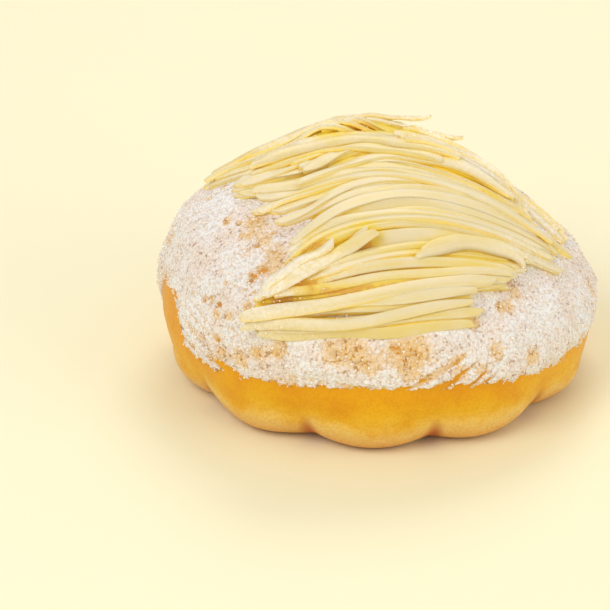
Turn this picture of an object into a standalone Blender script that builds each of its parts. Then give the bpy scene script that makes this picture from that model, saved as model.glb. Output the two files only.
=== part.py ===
"""Cheese ensaymada: a bun baked in a fluted tin, a sugar coat over its dome, a heap of cheese strips.

Units are metres and +Z is up. The origin is the middle of the flat base, and the front is -Y.
Azimuths are in degrees from the front, positive towards +X. The climb says how high a point of the
bread's outside is: 0 at the tin's rim, 90 degrees at the top of the dome, negative below the rim.
"""
import bmesh
import bpy
import numpy as np

MM = 0.001

# Bun: the fluted side that the tin gives, and the dome that rises over the tin's rim
LOBES = 10
COLUMNS_PER_LOBE = 8
COLUMNS = LOBES * COLUMNS_PER_LOBE
FRONT_VALLEY = 15.0
VALLEY_DRIFT = 1.25
BASE_RADIUS = 47.5 * MM
BULGE_RADIUS = 56.6 * MM
BULGE_HEIGHT = 9.5 * MM
RIM_RADIUS = 58.4 * MM
RIM_HEIGHT = 21.0 * MM
DOME_HEIGHT = 54.4 * MM
DOME_FULLNESS = 2.08
DOME_LEAN = 0.55
CLIMB_STEP = 0.6 * MM
FLUTE_DEPTH = 6.2 * MM
FLUTE_FADE = 8.0 * MM
CREASE_SOFTNESS = 0.05
CREASE_SOFTENING = 0.45
SHOULDER_AZIMUTH = -84.0
SHOULDER_REACH = 42.0 * MM
SHOULDER_WIDTH = 17.0 * MM
SHOULDER_RISE = 2.8 * MM
BASE_ROWS = 2
FOOT_ROWS = 5
WALL_ROWS = 2
DOME_ROWS = 10

# Coat: butter, sugar and milk powder in one thin skin; its ragged lower edge is given as a climb,
# with a bare stretch on the left
GAP = 0.3 * MM
COAT_THICKNESS = 1.0 * MM
COAT_ROWS = 10
EDGE_CLIMB = -1.5
EDGE_WAVES = 3
EDGE_WAVE = 2.0
EDGE_WAVE_AZIMUTH = -8.0
BARE_AZIMUTH = -74.0
BARE_WIDTH = 11.0
BARE_CLIMB = 12.0
EDGE_RAGGED = 1.2
EDGE_SEED = 3

# Cheese: a thin bed under strips that run from left to right over the dome
CHEESE_LIFT = GAP + COAT_THICKNESS + 0.6 * MM
BED_CENTRE = (2.0 * MM, -8.0 * MM)
BED_REACH = (37.0 * MM, 38.0 * MM)
BED_NOTCH = 0.38
BED_NOTCH_AZIMUTH = -80.0
BED_NOTCH_WIDTH = 34.0
BED_THICKNESS = 1.6 * MM
BED_COLUMNS = 28
BED_ROWS = 8
STRIP_THICKNESS = (1.3 * MM, 1.7 * MM)
WIDTH_SPREAD = 0.4 * MM
STRIP_CUTS = 5
STRIP_CROWN = 0.78
STRIP_FOOT = 0.45 * MM
PRESS = 0.4 * MM
STRAY = 0.4
BOW_SPREAD = 0.6 * MM
END_TRIM = (-1.5 * MM, 4.0 * MM)
END_SLANT = 1.5 * MM
END_SLANT_POWER = 6
STEEPEST_SHARE = 0.985
STRIP_SEED = 5

# The heap's height map, which each strip is laid on and then raises
CELL = 1.0 * MM
HALF_MAP = 66.0 * MM
LANES = (-0.3, 0.0, 0.3)
PROBES = 6
STRIP_STATIONS = PROBES * (STRIP_CUTS + 1) + 1

# Each bunch of strips: four plan points, in millimetres, of its first strip's middle line and of its
# last one's; the rise of the right ends and the strips' width in millimetres; how many strips
BUNCHES = {
    "front foot": (((-32, -46), (-14, -52), (4, -52), (22, -47)),
                   ((-33, -45), (-14, -49), (5, -48), (27, -41)), 0.0, 3.4, 3),
    "lower fan": (((-33, -44), (-13, -49), (8, -47), (30, -36)),
                  ((-28, -42), (-12, -38), (9, -33), (39, -22)), 0.0, 3.5, 5),
    "middle": (((-25, -41), (-10, -36), (12, -30), (44, -20)),
               ((-22, -29), (-9, -18), (11, -7), (47, -6)), 0.0, 3.4, 6),
    "crown low": (((-24, -25), (-10, -15), (9, -5), (44, -6)),
                  ((-46, 9), (-23, 13), (3, 18), (34, 7)), 0.0, 3.4, 6),
    "back": (((-43, 6), (-22, 12), (1, 20), (26, 11)),
             ((-13, 18), (-3, 28), (8, 33), (20, 25)), 0.0, 3.4, 4),
    "lower fan top": (((-30, -45), (-13, -46), (7, -43), (30, -33)),
                      ((-22, -42), (-10, -38), (9, -32), (37, -23)), 0.0, 3.4, 4),
    "middle top": (((-22, -40), (-11, -32), (7, -27), (39, -20)),
                   ((-22, -30), (-11, -20), (7, -9), (45, -8)), 0.0, 3.4, 4),
    "crown middle": (((-27, -21), (-13, -15), (4, -6), (40, -9)),
                     ((-43, 5), (-24, 9), (-2, 13), (33, 4)), 0.0, 3.2, 5),
    "crown top": (((-36, 0), (-19, 6), (3, 12), (34, 3)),
                  ((-20, 8), (-9, 17), (5, 26), (26, 17)), 0.0, 3.1, 4),
    "back top": (((-28, 6), (-13, 14), (4, 24), (25, 16)),
                 ((-6, 15), (2, 25), (10, 31), (20, 25)), 0.0, 3.1, 3),
    "short tips": (((-29, -44), (-18, -42), (-7, -36), (4, -28)),
                   ((-29, -43), (-24, -41), (-18, -38), (-12, -34)), 1.0, 3.3, 2),
    "curl": (((7, -38), (14, -32), (24, -27), (34, -26)),
             ((7, -35), (14, -29), (24, -23), (35, -22)), 0.0, 3.3, 1),
    "stray tips": (((-10, 16), (0, 24), (11, 27), (24, 25)),
                   ((-7, 14), (2, 20), (9, 25), (15, 29)), 1.5, 2.8, 2),
}

# Colours, as red, green and blue from 0 to 255
CRUST_COLOUR = (233, 165, 29)
COAT_COLOUR = (234, 219, 203)
CHEESE_COLOUR = (238, 219, 160)


def valley_azimuth(valley):
    """Azimuth of a valley between two lobes, counted from the one just right of the front."""
    turn = 360.0 / LOBES * valley
    return FRONT_VALLEY + turn - VALLEY_DRIFT * (1 - np.cos(np.radians(turn)))


def column_azimuth(column):
    """Azimuth of a column, counted in lobes: a straight blend between the valleys beside it."""
    valley = np.floor(column)
    share = column - valley
    return valley_azimuth(valley) * (1 - share) + valley_azimuth(valley + 1) * share


def lobe_height(column, height):
    """0 in a valley and 1 on a lobe's crown: the size of a sine, its crease softer with height."""
    softness = CREASE_SOFTNESS + CREASE_SOFTENING * np.clip(height / RIM_HEIGHT, 0, 1)
    wave = np.sin(np.pi * column)
    return (np.sqrt(wave ** 2 + softness ** 2) - softness) / (np.sqrt(1 + softness ** 2) - softness)


def shoulder(azimuth, radius):
    """Rise of the round shoulder where the dough's coil ends: a bell curve round one spot."""
    angle = np.radians(azimuth)
    spot = np.radians(SHOULDER_AZIMUTH)
    across = radius * np.sin(angle) - SHOULDER_REACH * np.sin(spot)
    along = radius * np.cos(angle) - SHOULDER_REACH * np.cos(spot)
    return SHOULDER_RISE * np.exp(-(across ** 2 + along ** 2) / SHOULDER_WIDTH ** 2)


def side_radius(height):
    """Radius of the side without its flutes: a quarter-round foot, then a wall flared to the rim."""
    foot = np.arccos(np.clip(1 - height / BULGE_HEIGHT, 0, 1))
    flare = np.clip((height - BULGE_HEIGHT) / (RIM_HEIGHT - BULGE_HEIGHT), 0, 1) * np.pi / 2
    radius = BASE_RADIUS + (BULGE_RADIUS - BASE_RADIUS) * np.sin(foot)
    return radius + (RIM_RADIUS - BULGE_RADIUS) * np.sin(flare)


def fullness(azimuth):
    """Exponent of the dome's outline: full on the left, more pointed on the right."""
    return DOME_FULLNESS - DOME_LEAN * np.sin(np.radians(azimuth))


def bread_surface(column, climb, lift=0.0):
    """World points of the bread's outside, or of a surface that far off it.

    Below the rim the radius is the side's; above it, radius and height follow a superellipse.
    The flutes fade with height, and run a little way on to the dome.
    """
    azimuth = column_azimuth(column)
    power = 2 / fullness(azimuth)
    side_height = RIM_HEIGHT + np.minimum(climb, 0) * CLIMB_STEP
    turn = np.radians(np.maximum(climb, 0))
    dome_radius = RIM_RADIUS * np.maximum(np.cos(turn), 0) ** power
    rise = DOME_HEIGHT - RIM_HEIGHT + lift + shoulder(azimuth, dome_radius)
    height = np.where(climb > 0, RIM_HEIGHT + rise * np.sin(turn) ** power, side_height)
    spread = 1 + lift / RIM_RADIUS
    radius = np.where(climb > 0, dome_radius, side_radius(side_height)) * spread
    flute = FLUTE_DEPTH * np.exp(-height / FLUTE_FADE) * (1 - lobe_height(column, height))
    radius = np.maximum(radius - flute, 0)
    angle = np.radians(azimuth)
    return np.stack([radius * np.sin(angle), -radius * np.cos(angle), height], axis=-1)


def dome_point(plan, lift):
    """World points on the dome, lifted off the bread, over plan points given in metres."""
    azimuth = np.degrees(np.arctan2(plan[..., 0], -plan[..., 1]))
    share = np.minimum(np.hypot(plan[..., 0], plan[..., 1]) / RIM_RADIUS, STEEPEST_SHARE)
    turn = np.arccos(share ** (fullness(azimuth) / 2))
    radius = share * (RIM_RADIUS + lift)
    rise = DOME_HEIGHT - RIM_HEIGHT + lift + shoulder(azimuth, share * RIM_RADIUS)
    height = RIM_HEIGHT + rise * np.sin(turn) ** (2 / fullness(azimuth))
    angle = np.radians(azimuth)
    return np.stack([radius * np.sin(angle), -radius * np.cos(angle), height], axis=-1)


def sphere_grid(columns, rows):
    """Unit sphere as a bmesh, with each vertex's column step and its row from the bottom."""
    shape = bmesh.new()
    bmesh.ops.create_uvsphere(shape, u_segments=columns, v_segments=rows, radius=1.0)
    points = np.array([vertex.co for vertex in shape.verts])
    turn = np.arctan2(points[:, 1], points[:, 0]) / (2 * np.pi)
    step = np.round(turn * columns) % columns
    row = np.round(np.arccos(np.clip(-points[:, 2], -1, 1)) / np.pi * rows)
    return shape, step, row


def move_vertices(shape, points):
    """Put a bmesh's vertices at the given points."""
    for vertex, point in zip(shape.verts, points):
        vertex.co = point


def srgb_to_linear(channels):
    """Linear colour, with alpha, of a colour given from 0 to 255."""
    return [((channel / 255 + 0.055) / 1.055) ** 2.4 for channel in channels] + [1.0]


def add_object(name, shape, collection):
    """Turn a bmesh into a smooth-shaded object of the collection."""
    mesh = bpy.data.meshes.new(name)
    bmesh.ops.recalc_face_normals(shape, faces=shape.faces)
    shape.to_mesh(mesh)
    shape.free()
    mesh.shade_smooth()
    item = bpy.data.objects.new(name, mesh)
    collection.objects.link(item)
    return item


def add_material(item, colour, roughness, subsurface):
    """Give an object its own Principled material."""
    material = bpy.data.materials.new(item.name)
    material.use_nodes = True
    shader = material.node_tree.nodes["Principled BSDF"]
    shader.inputs["Base Color"].default_value = srgb_to_linear(colour)
    shader.inputs["Roughness"].default_value = roughness
    shader.inputs["Metallic"].default_value = 0.0
    shader.inputs["Subsurface Weight"].default_value = subsurface
    item.data.materials.append(material)


def build_bun(collection):
    """Bread: a sphere's grid pulled over the flat base, the rounded foot, the wall and the dome."""
    shape, step, row = sphere_grid(COLUMNS, BASE_ROWS + FOOT_ROWS + WALL_ROWS + DOME_ROWS)
    inner = np.clip(row / BASE_ROWS, 0, 1)
    foot = np.clip((row - BASE_ROWS) / FOOT_ROWS, 0, 1)
    wall = np.clip((row - BASE_ROWS - FOOT_ROWS) / WALL_ROWS, 0, 1)
    dome = np.clip((row - BASE_ROWS - FOOT_ROWS - WALL_ROWS) / DOME_ROWS, 0, 1)
    height = BULGE_HEIGHT * (1 - np.cos(foot * np.pi / 2)) + (RIM_HEIGHT - BULGE_HEIGHT) * wall
    climb = (height - RIM_HEIGHT) / CLIMB_STEP + 90 * dome
    points = bread_surface(step / COLUMNS_PER_LOBE, climb)
    points[:, :2] *= inner[:, None]
    move_vertices(shape, points)
    bun = add_object("bun", shape, collection)
    add_material(bun, CRUST_COLOUR, roughness=0.38, subsurface=0.1)


def coat_edge():
    """Climb of the coat's lower edge at each column: slow waves, a bare stretch, ragged steps."""
    azimuth = column_azimuth(np.arange(COLUMNS) / COLUMNS_PER_LOBE)
    wave = EDGE_WAVE * np.cos(np.radians(EDGE_WAVES * (azimuth - EDGE_WAVE_AZIMUTH)))
    away = (azimuth - BARE_AZIMUTH + 180) % 360 - 180
    bare = BARE_CLIMB * np.exp(-(away / BARE_WIDTH) ** 2)
    ragged = np.random.RandomState(EDGE_SEED).uniform(-EDGE_RAGGED, EDGE_RAGGED, COLUMNS)
    return EDGE_CLIMB + wave + bare + ragged


def build_coat(collection):
    """Sugar coat: the upper half of a sphere's grid laid just off the bread, thickened outwards."""
    shape, step, row = sphere_grid(COLUMNS, 2 * COAT_ROWS)
    share = np.maximum((row - COAT_ROWS) / COAT_ROWS, 0)
    edge = coat_edge()[step.astype(int)]
    points = bread_surface(step / COLUMNS_PER_LOBE, edge + (90 - edge) * share, GAP)
    move_vertices(shape, points)
    below = [vertex for vertex, level in zip(shape.verts, row) if level < COAT_ROWS]
    bmesh.ops.delete(shape, geom=below, context="VERTS")
    coat = add_object("sugar_coat", shape, collection)
    skin = coat.modifiers.new("thickness", "SOLIDIFY")
    skin.thickness = COAT_THICKNESS
    skin.offset = 1.0
    skin.use_even_offset = True
    add_material(coat, COAT_COLOUR, roughness=0.85, subsurface=0.1)


def bed_reach(azimuth):
    """Reach of the bed's edge as a share of its ellipse: notched where the coat shows on the left."""
    away = (azimuth - BED_NOTCH_AZIMUTH + 180) % 360 - 180
    return 1 - BED_NOTCH * np.exp(-(away / BED_NOTCH_WIDTH) ** 2)


def build_bed(collection):
    """Bed of the heap: a flattened sphere laid on the coat."""
    shape, step, row = sphere_grid(BED_COLUMNS, BED_ROWS)
    azimuth = 360.0 * step / BED_COLUMNS
    level = np.radians(180.0 * row / BED_ROWS)
    outward = np.stack([np.sin(np.radians(azimuth)), -np.cos(np.radians(azimuth))], axis=-1)
    spread = (bed_reach(azimuth) * np.sin(level))[:, None]
    plan = outward * np.array(BED_REACH) * spread + np.array(BED_CENTRE)
    raised = BED_THICKNESS * np.maximum(-np.cos(level), 0)
    move_vertices(shape, dome_point(plan, CHEESE_LIFT + raised))
    return add_object("cheese", shape, collection)


def bare_map():
    """Height map of the bed alone: its lift off the coat over each cell of the plan."""
    line = np.arange(-HALF_MAP, HALF_MAP, CELL)
    offset = np.stack(np.meshgrid(line, line, indexing="ij"), axis=-1) - np.array(BED_CENTRE)
    offset /= np.array(BED_REACH)
    azimuth = np.degrees(np.arctan2(offset[..., 0], -offset[..., 1]))
    share = np.hypot(offset[..., 0], offset[..., 1]) / bed_reach(azimuth)
    return BED_THICKNESS * np.sqrt(np.clip(1 - share ** 2, 0, 1))


def map_place(plan):
    """Row and column of the height map at plan points."""
    return tuple(np.moveaxis(((plan + HALF_MAP) / CELL).astype(int), -1, 0))


def middle_line(share, route):
    """Plan points along a strip: the cubic through four points, a third of the way apart."""
    third = 3 * share[:, None]
    weights = (-(third - 1) * (third - 2) * (third - 3) / 6, third * (third - 2) * (third - 3) / 2,
               -third * (third - 1) * (third - 3) / 2, third * (third - 1) * (third - 2) / 6)
    return sum(weight * point for weight, point in zip(weights, route))


def lay_on(heap, plan, width, thickness, rise):
    """Lay a strip on the height map, raise the map under it, and return its lift at each cut.

    The lift is the mean of the ground near the cut, over three lanes, less how far it presses in.
    """
    run = np.gradient(plan, axis=0)
    beside = np.stack([-run[:, 1], run[:, 0]], axis=-1) / np.linalg.norm(run, axis=1, keepdims=True)
    lanes = [map_place(plan + beside * width * offset) for offset in LANES]
    left, centre, right = (heap[lane] for lane in lanes)
    ground = np.maximum(centre, (left + right) / 2)
    padded = np.pad(ground, PROBES // 2, mode="edge")
    near = np.mean([padded[start:start + len(ground)] for start in range(PROBES + 1)], axis=0)
    level = np.maximum(near[::PROBES] - PRESS, 0) + rise * np.linspace(0, 1, STRIP_CUTS + 2) ** 4
    for lane in lanes:
        heap[lane] = np.interp(np.arange(len(plan)), np.arange(0, len(plan), PROBES), level) + thickness
    return level


def build_strip(name, heap, route, size, trims, rise, slant, collection):
    """One strip: a box cut along its length, its corners carried along the line that it lies on."""
    shape = bmesh.new()
    bmesh.ops.create_cube(shape, size=1.0)
    along = [edge for edge in shape.edges if edge.verts[0].co.x != edge.verts[1].co.x]
    bmesh.ops.subdivide_edges(shape, edges=along, cuts=STRIP_CUTS, use_grid_fill=True)
    local = np.array([vertex.co for vertex in shape.verts])
    cut = np.round((local[:, 0] + 0.5) * (STRIP_CUTS + 1)).astype(int)
    plan = middle_line(np.linspace(trims[0], 1 - trims[1], STRIP_STATIONS), route)
    level = CHEESE_LIFT + STRIP_FOOT + lay_on(heap, plan, *size, rise) + size[1] / 2
    middle = dome_point(plan[::PROBES], level)
    upward = dome_point(plan[::PROBES], level + MM) - middle
    tangent = np.gradient(middle, axis=0)
    tangent /= np.linalg.norm(tangent, axis=1, keepdims=True)
    across = np.cross(upward, tangent)
    across /= np.linalg.norm(across, axis=1, keepdims=True)
    upward = np.cross(tangent, across)
    width = size[0] * local[:, 1] * np.where(local[:, 2] > 0, STRIP_CROWN, 1.0)
    forward = slant * local[:, 1] * np.abs(2 * local[:, 0]) ** END_SLANT_POWER
    points = middle[cut] + across[cut] * width[:, None] + tangent[cut] * forward[:, None]
    move_vertices(shape, points + upward[cut] * (size[1] * local[:, 2])[:, None])
    return add_object(name, shape, collection)


def build_bunch(name, bunch, heap, draw, collection):
    """A bunch: strips blended from its first to its last, each with its own jitter."""
    first, last, rise, width, count = bunch
    for number in range(count):
        place = ((number + 0.5 + draw.uniform(-STRAY, STRAY, 4)) / count)[:, None]
        route = (np.array(first) * (1 - place) + np.array(last) * place) * MM
        route[1:3] += draw.uniform(-BOW_SPREAD, BOW_SPREAD, 2)
        length = np.linalg.norm(np.diff(route, axis=0), axis=1).sum()
        trims = draw.uniform(*END_TRIM, 2) / length
        size = (width * MM + draw.uniform(-WIDTH_SPREAD, WIDTH_SPREAD), draw.uniform(*STRIP_THICKNESS))
        slant = draw.uniform(-END_SLANT, END_SLANT)
        build_strip(f"{name} {number}", heap, route, size, trims, rise * MM, slant, collection)


def keep_largest_piece(shape):
    """Delete every shell but the one with the most faces: inner hollows are filled, scraps dropped."""
    shells = []
    left = set(shape.faces)
    while left:
        shell = set()
        front = [left.pop()]
        while front:
            face = front.pop()
            shell.add(face)
            beside = {other for edge in face.edges for other in edge.link_faces}
            front.extend(beside & left)
            left -= beside
        shells.append(shell)
    largest = max(shells, key=len)
    scraps = [face for face in shape.faces if face not in largest]
    bmesh.ops.delete(shape, geom=scraps, context="FACES")


def build_cheese(collection, helpers):
    """Cheese heap: the bed and all the strips joined by one Boolean union into one solid."""
    bed = build_bed(collection)
    heap = bare_map()
    draw = np.random.RandomState(STRIP_SEED)
    for name, bunch in BUNCHES.items():
        build_bunch(name, bunch, heap, draw, helpers)
    join = bed.modifiers.new("join", "BOOLEAN")
    join.operation = "UNION"
    join.operand_type = "COLLECTION"
    join.collection = helpers
    bpy.context.view_layer.update()
    joined = bpy.data.meshes.new_from_object(bed.evaluated_get(bpy.context.evaluated_depsgraph_get()))
    bed.modifiers.clear()
    shape = bmesh.new()
    shape.from_mesh(joined)
    keep_largest_piece(shape)
    bmesh.ops.triangulate(shape, faces=shape.faces)
    shape.to_mesh(bed.data)
    shape.free()
    bed.data.shade_flat()
    bpy.data.meshes.remove(joined)
    for strip in list(helpers.objects):
        bpy.data.objects.remove(strip)
    bpy.data.collections.remove(helpers)
    add_material(bed, CHEESE_COLOUR, roughness=0.45, subsurface=0.2)


def main():
    """Clear the scene and build the three pieces."""
    for item in list(bpy.data.objects):
        bpy.data.objects.remove(item)
    scene = bpy.context.scene
    collection = bpy.data.collections.new("cheese ensaymada")
    helpers = bpy.data.collections.new("cheese strips")
    scene.collection.children.link(collection)
    scene.collection.children.link(helpers)
    build_bun(collection)
    build_coat(collection)
    build_cheese(collection, helpers)


main()
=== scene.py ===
"""Cheese ensaymada with its finish: baked bread, a sugar coat, a heap of cheese strips, loose grains.

Units are metres, and MM turns millimetres into them. +Z is up and the front is -Y. Azimuths are in
degrees from the front, positive towards +X. A climb says how high a point of the bread's outside is:
0 at the tin's rim, 90 degrees at the top of the dome, negative below the rim.
"""
import bmesh
import bpy
import numpy as np
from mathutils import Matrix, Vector


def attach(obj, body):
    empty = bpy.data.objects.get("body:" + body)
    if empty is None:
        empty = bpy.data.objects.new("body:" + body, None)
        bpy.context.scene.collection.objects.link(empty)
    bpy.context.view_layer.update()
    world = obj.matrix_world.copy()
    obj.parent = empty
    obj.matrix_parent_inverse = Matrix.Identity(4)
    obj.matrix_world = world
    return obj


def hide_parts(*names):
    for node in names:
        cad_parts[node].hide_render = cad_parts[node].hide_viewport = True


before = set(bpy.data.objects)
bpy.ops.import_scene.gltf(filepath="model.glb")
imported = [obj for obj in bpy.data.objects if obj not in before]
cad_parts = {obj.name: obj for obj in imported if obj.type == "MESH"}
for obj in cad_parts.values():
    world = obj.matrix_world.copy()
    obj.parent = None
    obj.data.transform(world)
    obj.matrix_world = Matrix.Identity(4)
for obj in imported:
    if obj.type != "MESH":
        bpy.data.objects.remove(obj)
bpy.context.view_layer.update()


# Bread: soft yeast dough, coiled and baked golden in a fluted tin, which gives the flat base and the
# ten round lobes of the side. Above the tin's rim the dough rose to a dome, fuller on the left, with a
# low shoulder where the coil ends. It takes the place of the plain bun.
MM = 0.001
LOBES = 10
FRONT_VALLEY = 15.0
VALLEY_DRIFT = 1.25
BASE_RADIUS = 47.5 * MM
BULGE_RADIUS = 56.6 * MM
BULGE_HEIGHT = 9.5 * MM
RIM_RADIUS = 58.4 * MM
RIM_HEIGHT = 21.0 * MM
DOME_HEIGHT = 54.4 * MM
DOME_FULLNESS = 2.08
DOME_LEAN = 0.55
CLIMB_STEP = 0.6 * MM
FLUTE_DEPTH = 6.2 * MM
FLUTE_FADE = 8.0 * MM
CREASE_SOFTNESS = 0.05
CREASE_SOFTENING = 0.45
SHOULDER_AZIMUTH = -84.0
SHOULDER_REACH = 42.0 * MM
SHOULDER_WIDTH = 17.0 * MM
SHOULDER_RISE = 2.8 * MM
BREAD_COLUMNS = 480
BREAD_ROWS = {"base": 6, "foot": 52, "wall": 30, "dome": 80}
LUMP_SIZE = 11.0 * MM
LUMP_RELIEF = 0.28 * MM
WRINKLE_SIZE = 2.4 * MM
WRINKLE_RELIEF = 0.05 * MM
RELIEF_START = 3.0 * MM
CREASE_REACH = 0.36
CREASE_RISE = 11.0 * MM
CREASE_BLUR = 0.2
LATTICE = 1024


def valley_azimuth(valley):
    """Azimuth of a valley between two lobes, counted from the one just right of the front: even turns,
    less a drift that grows to the back as one minus a cosine."""
    turn = 360.0 / LOBES * valley
    return FRONT_VALLEY + turn - VALLEY_DRIFT * (1 - np.cos(np.radians(turn)))


def column_azimuth(column):
    """Azimuth of a column, counted in lobes: a straight blend between the valleys beside it."""
    valley = np.floor(column)
    share = column - valley
    return valley_azimuth(valley) * (1 - share) + valley_azimuth(valley + 1) * share


def lobe_height(column, height):
    """0 in a valley and 1 on a lobe's crown: the size of a sine, its crease softer with height."""
    softness = CREASE_SOFTNESS + CREASE_SOFTENING * np.clip(height / RIM_HEIGHT, 0, 1)
    wave = np.sin(np.pi * column)
    return (np.sqrt(wave ** 2 + softness ** 2) - softness) / (np.sqrt(1 + softness ** 2) - softness)


def crease_share(column, height):
    """How far a point lies in a crease, from 0 to 1: how much lower than a set reach its lobe's height
    is, where the reach shrinks to nothing up the side."""
    reach = CREASE_REACH * np.clip(1 - height / CREASE_RISE, 0, 1)
    return np.clip((reach - lobe_height(column, height)) / CREASE_BLUR, 0, 1)


def shoulder(azimuth, radius):
    """Rise of the round shoulder where the dough's coil ends: a bell curve round one spot."""
    angle = np.radians(azimuth)
    spot = np.radians(SHOULDER_AZIMUTH)
    across = radius * np.sin(angle) - SHOULDER_REACH * np.sin(spot)
    along = radius * np.cos(angle) - SHOULDER_REACH * np.cos(spot)
    return SHOULDER_RISE * np.exp(-(across ** 2 + along ** 2) / SHOULDER_WIDTH ** 2)


def side_radius(height):
    """Radius of the side without its flutes: a quarter-round foot, then a wall flared to the rim."""
    foot = np.arccos(np.clip(1 - height / BULGE_HEIGHT, 0, 1))
    flare = np.clip((height - BULGE_HEIGHT) / (RIM_HEIGHT - BULGE_HEIGHT), 0, 1) * np.pi / 2
    radius = BASE_RADIUS + (BULGE_RADIUS - BASE_RADIUS) * np.sin(foot)
    return radius + (RIM_RADIUS - BULGE_RADIUS) * np.sin(flare)


def fullness(azimuth):
    """Exponent of the dome's outline: full on the left, more pointed on the right."""
    return DOME_FULLNESS - DOME_LEAN * np.sin(np.radians(azimuth))


def dome_height(azimuth, turn, radius, lift):
    """Height of the dome, lifted off the bread, at this turn from the rim and radius: a superellipse's,
    with the shoulder added to its rise."""
    rise = DOME_HEIGHT - RIM_HEIGHT + lift + shoulder(azimuth, radius)
    return RIM_HEIGHT + rise * np.sin(turn) ** (2 / fullness(azimuth))


def round_place(azimuth, radius, height):
    """Points at this azimuth and radius from the middle, and this height: sine and cosine."""
    angle = np.radians(azimuth)
    return np.stack([radius * np.sin(angle), -radius * np.cos(angle), height], axis=-1)


def bread_surface(column, climb, lift=0.0):
    """Points of the bread's outside, or that far off it, as a grid of columns and climbs.

    Below the rim the radius is the side's; above it, radius and height follow a superellipse.
    The flutes fade with height, and run a little way on to the dome.
    """
    azimuth = column_azimuth(column)
    side_height = RIM_HEIGHT + np.minimum(climb, 0) * CLIMB_STEP
    turn = np.radians(np.maximum(climb, 0))
    dome_radius = RIM_RADIUS * np.maximum(np.cos(turn), 0) ** (2 / fullness(azimuth))
    height = np.where(climb > 0, dome_height(azimuth, turn, dome_radius, lift), side_height)
    spread = 1 + lift / RIM_RADIUS
    radius = np.where(climb > 0, dome_radius, side_radius(side_height)) * spread
    flute = FLUTE_DEPTH * np.exp(-height / FLUTE_FADE) * (1 - lobe_height(column, height))
    return round_place(azimuth, np.maximum(radius - flute, 0), height)


def lattice_value(cube, seed):
    """A random value from 0 to 1 for each cube of a lattice, always the same for the same cube."""
    order = np.random.RandomState(seed).permutation(LATTICE)
    x, y, z = np.moveaxis(cube, -1, 0)
    return order[(x + order[(y + order[z % LATTICE]) % LATTICE]) % LATTICE] / LATTICE


def noise(points, size, seed):
    """Smooth noise from 0 to 1: random values at a lattice's corners, blended by 3t^2 - 2t^3."""
    place = points / size
    corner = np.floor(place).astype(int)
    share = place - corner
    share = share ** 2 * (3 - 2 * share)
    total = np.zeros(points.shape[:-1])
    for step in np.ndindex(2, 2, 2):
        weight = np.prod(np.where(np.array(step), share, 1 - share), axis=-1)
        total += weight * lattice_value(corner + np.array(step), seed)
    return total


def surface_normals(grid):
    """Outward unit normals of a grid of points: its step along a row crossed with its step up."""
    along = np.roll(grid, -1, axis=1) - np.roll(grid, 1, axis=1)
    normals = np.cross(along, np.gradient(grid, axis=0))
    return normals / np.maximum(np.linalg.norm(normals, axis=-1, keepdims=True), 1e-12)


def closed_faces(rows, columns, first=0):
    """Faces of a closed grid: quads round and up, and a fan to a pole at each end.

    The points are the grid's, row by row, then the lower pole and the upper pole.
    """
    row, column = np.meshgrid(np.arange(rows - 1), np.arange(columns), indexing="ij")
    after = (column + 1) % columns
    quads = np.stack([row * columns + column, row * columns + after,
                      (row + 1) * columns + after, (row + 1) * columns + column], axis=-1)
    ring = np.arange(columns)
    following = (ring + 1) % columns
    top = (rows - 1) * columns
    lower = np.stack([np.full(columns, rows * columns), following, ring], axis=-1)
    upper = np.stack([top + ring, top + following, np.full(columns, rows * columns + 1)], axis=-1)
    return [*(quads.reshape(-1, 4) + first).tolist(), *(lower + first).tolist(), *(upper + first).tolist()]


def with_poles(grid):
    """The grid's values row by row, then the mean of its first row and of its last."""
    values = grid.reshape(-1, *grid.shape[2:])
    return np.concatenate([values, grid[:1].mean(axis=1), grid[-1:].mean(axis=1)])


def add_mesh(name, points, faces, **attributes):
    """Smooth-shaded object at the origin with this mesh, and a float attribute for each named array."""
    mesh = bpy.data.meshes.new(name)
    mesh.from_pydata(points.tolist(), [], faces)
    for title, values in attributes.items():
        layer = mesh.attributes.new(title, "FLOAT", "POINT")
        layer.data.foreach_set("value", values.astype(np.float32))
    mesh.shade_smooth()
    piece = bpy.data.objects.new(name, mesh)
    bpy.context.scene.collection.objects.link(piece)
    return piece


def linear(channels):
    """Linear colour, with alpha, of a colour given from 0 to 255: the screen's curve, a power of 2.4."""
    return [(((channel / 255) + 0.055) / 1.055) ** 2.4 for channel in channels] + [1.0]


def feed_inputs(tree, node, feeds):
    """Feed a node's inputs: each feed is a socket to link or a value to set."""
    for title, feed in feeds.items():
        if isinstance(feed, bpy.types.NodeSocket):
            tree.links.new(feed, node.inputs[title])
        else:
            node.inputs[title].default_value = feed


def add_node(tree, kind, feeds, **settings):
    """Add a shader node with these settings and feeds."""
    made = tree.nodes.new(kind)
    for title, value in settings.items():
        setattr(made, title, value)
    feed_inputs(tree, made, feeds)
    return made


def add_ramp(tree, share, stops):
    """Colour by share: a colour ramp through stops, given as place and colour from 0 to 255."""
    ramp = add_node(tree, "ShaderNodeValToRGB", {"Fac": share})
    band = ramp.color_ramp
    while len(band.elements) < len(stops):
        band.elements.new(1.0)
    for element, (place, colour) in zip(band.elements, stops):
        element.position = place
        element.color = linear(colour)
    return ramp.outputs["Color"]


def blend(tree, share, first, second, mode="MIX"):
    """Mix two colours, each a socket or a colour from 0 to 255, by a share. The Mix node takes the share
    as its input 0 and colours as its inputs 6 and 7, and gives a colour as its output 2."""
    first, second = (item if isinstance(item, bpy.types.NodeSocket) else linear(item)
                     for item in (first, second))
    feeds = {0: share, 6: first, 7: second}
    return add_node(tree, "ShaderNodeMix", feeds, data_type="RGBA", blend_type=mode).outputs[2]


def add_math(tree, operation, first, second=0.0, third=0.0):
    """One Math node's value."""
    feeds = {0: first, 1: second, 2: third}
    return add_node(tree, "ShaderNodeMath", feeds, operation=operation).outputs[0]


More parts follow.
